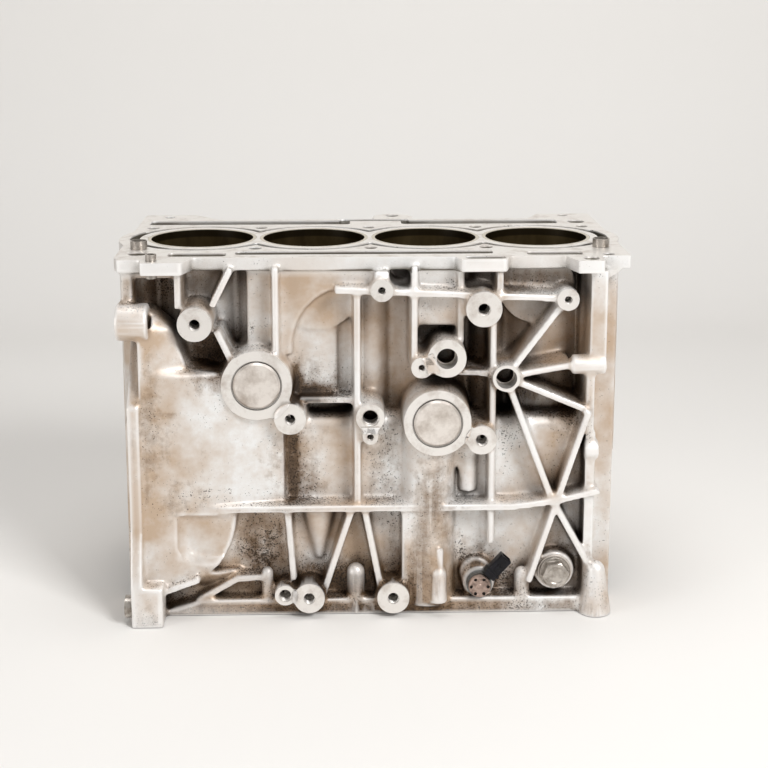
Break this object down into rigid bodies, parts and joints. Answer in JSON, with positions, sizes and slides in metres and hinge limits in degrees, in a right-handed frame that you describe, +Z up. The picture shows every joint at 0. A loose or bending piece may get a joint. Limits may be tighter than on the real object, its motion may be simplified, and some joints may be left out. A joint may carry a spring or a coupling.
{
  "type": "engine block",
  "caption": "Aluminium open-deck cylinder block of an inline piston engine, with cast-in iron liners, ribbed crankcase, bearing caps, core plugs and mounting bosses.",
  "frame": {"origin": "crankshaft axis at the middle main bearing", "axes": "+X along the crankshaft to the timing end, +Z up the cylinders to the deck, -Y out of the ribbed side"},
  "size_m": [0.3676, 0.213, 0.264],
  "materials": {
    "cast_aluminium": "satin",
    "liner_iron": "satin",
    "cap_iron": "matte",
    "bolt_steel": "satin",
    "plug_steel": "satin",
    "dowel_steel": "satin",
    "washer_aluminium": "satin",
    "valve_alloy": "satin",
    "valve_cap": "satin",
    "connector_plastic": "matte"
  },
  "bodies": {
    "root": {"cylinder_block": "cast_aluminium", "cylinder_liner_1": "liner_iron", "cylinder_liner_2": "liner_iron", "cylinder_liner_3": "liner_iron", "cylinder_liner_4": "liner_iron", "main_bearing_cap_1": "cap_iron", "main_cap_bolt_1_front": "bolt_steel", "main_cap_bolt_1_back": "bolt_steel", "main_bearing_cap_2": "cap_iron", "main_cap_bolt_2_front": "bolt_steel", "main_cap_bolt_2_back": "bolt_steel", "main_bearing_cap_3": "cap_iron", "main_cap_bolt_3_front": "bolt_steel", "main_cap_bolt_3_back": "bolt_steel", "main_bearing_cap_4": "cap_iron", "main_cap_bolt_4_front": "bolt_steel", "main_cap_bolt_4_back": "bolt_steel", "main_bearing_cap_5": "cap_iron", "main_cap_bolt_5_front": "bolt_steel", "main_cap_bolt_5_back": "bolt_steel", "core_plug_left": "plug_steel", "core_plug_right": "plug_steel", "deck_dowel_left": "dowel_steel", "deck_dowel_right": "dowel_steel", "deck_locating_sleeve": "dowel_steel", "gearbox_dowel_lower": "dowel_steel", "gearbox_dowel_upper": "dowel_steel", "gallery_plug_left": "bolt_steel", "gallery_plug_right": "bolt_steel", "crank_lock_washer": "washer_aluminium", "crank_lock_plug": "bolt_steel", "oil_valve_body": "valve_alloy", "oil_valve_cap": "valve_cap", "oil_valve_connector": "connector_plastic"}
  },
  "joints": []
}
